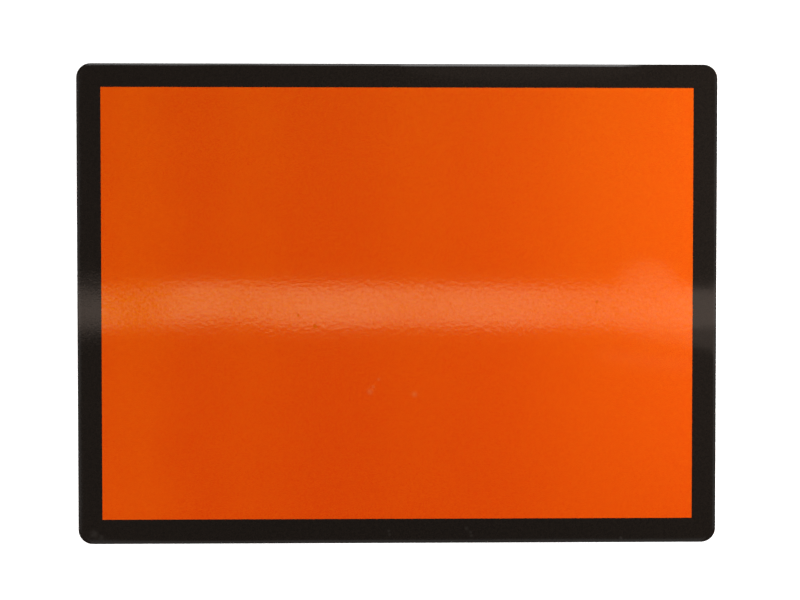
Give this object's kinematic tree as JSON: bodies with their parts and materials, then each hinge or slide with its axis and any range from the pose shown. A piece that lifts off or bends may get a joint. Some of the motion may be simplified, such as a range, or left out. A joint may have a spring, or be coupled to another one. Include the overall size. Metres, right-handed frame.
{
  "type": "dangerous goods sticker",
  "caption": "Flat self-adhesive orange hazard panel with a black border and rounded corners, on its slit release liner.",
  "frame": {"origin": "middle of the underside of the release liner", "axes": "+X along the long side to the right, +Y along the short side to the top edge, +Z out of the printed face"},
  "size_m": [0.4, 0.3, 0.0004],
  "materials": {
    "orange_film": "glossy orange reflective vinyl with a fine orange peel",
    "black_ink": "glossy screen-printed black ink",
    "liner_paper": "off-white silicone-coated release paper, satin"
  },
  "bodies": {
    "root": {"face_film": "orange_film", "border_print": "black_ink", "liner_sheet": "liner_paper", "liner_starter_strip": "liner_paper"}
  },
  "joints": []
}
